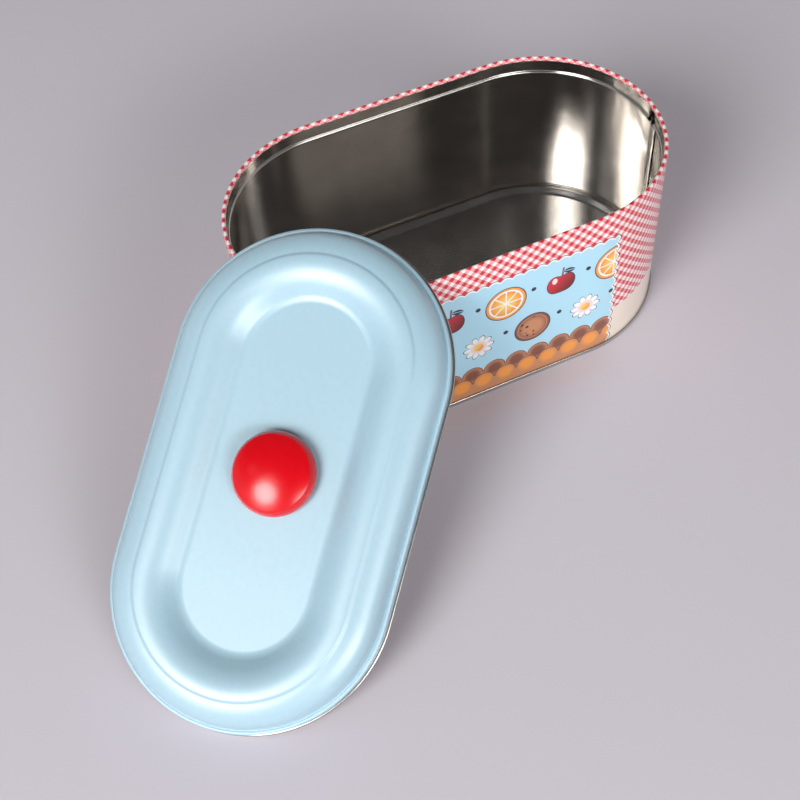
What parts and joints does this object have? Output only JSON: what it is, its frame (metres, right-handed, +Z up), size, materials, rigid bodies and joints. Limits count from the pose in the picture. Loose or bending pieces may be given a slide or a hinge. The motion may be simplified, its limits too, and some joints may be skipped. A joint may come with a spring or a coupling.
{
  "type": "oval tin box with loose lid",
  "caption": "Oval tinplate lunch box with a printed wall and a loose slip-over lid with a pinch knob, the lid leaning on the rim.",
  "frame": {"origin": "centre of the box's base, on the plane of the double seam that it stands on", "axes": "+X along the box's length, away from the lid; +Y towards the back; +Z up"},
  "size_m": [0.3282, 0.2508, 0.1151],
  "materials": {
    "printed_tinplate": "glossy printed lacquer outside, bare satin tinplate inside",
    "bare_tinplate": "satin tinplate, slightly worn",
    "blue_enamel": "glossy pale blue lacquer, bare tinplate inside the curl",
    "red_gloss": "glossy red",
    "zinc_plate": "zinc-plated steel"
  },
  "bodies": {
    "box": {"body_wall": "printed_tinplate", "base_pan": "bare_tinplate"},
    "lid": {"lid_panel": "blue_enamel", "knob": "red_gloss", "knob_washer": "zinc_plate", "knob_screw": "zinc_plate"}
  },
  "joints": [
    {"name": "lid_lift", "type": "slide", "parent": "box", "child": "lid", "axis": [0, 0, 1], "range_m": [0, 0.15]}
  ]
}
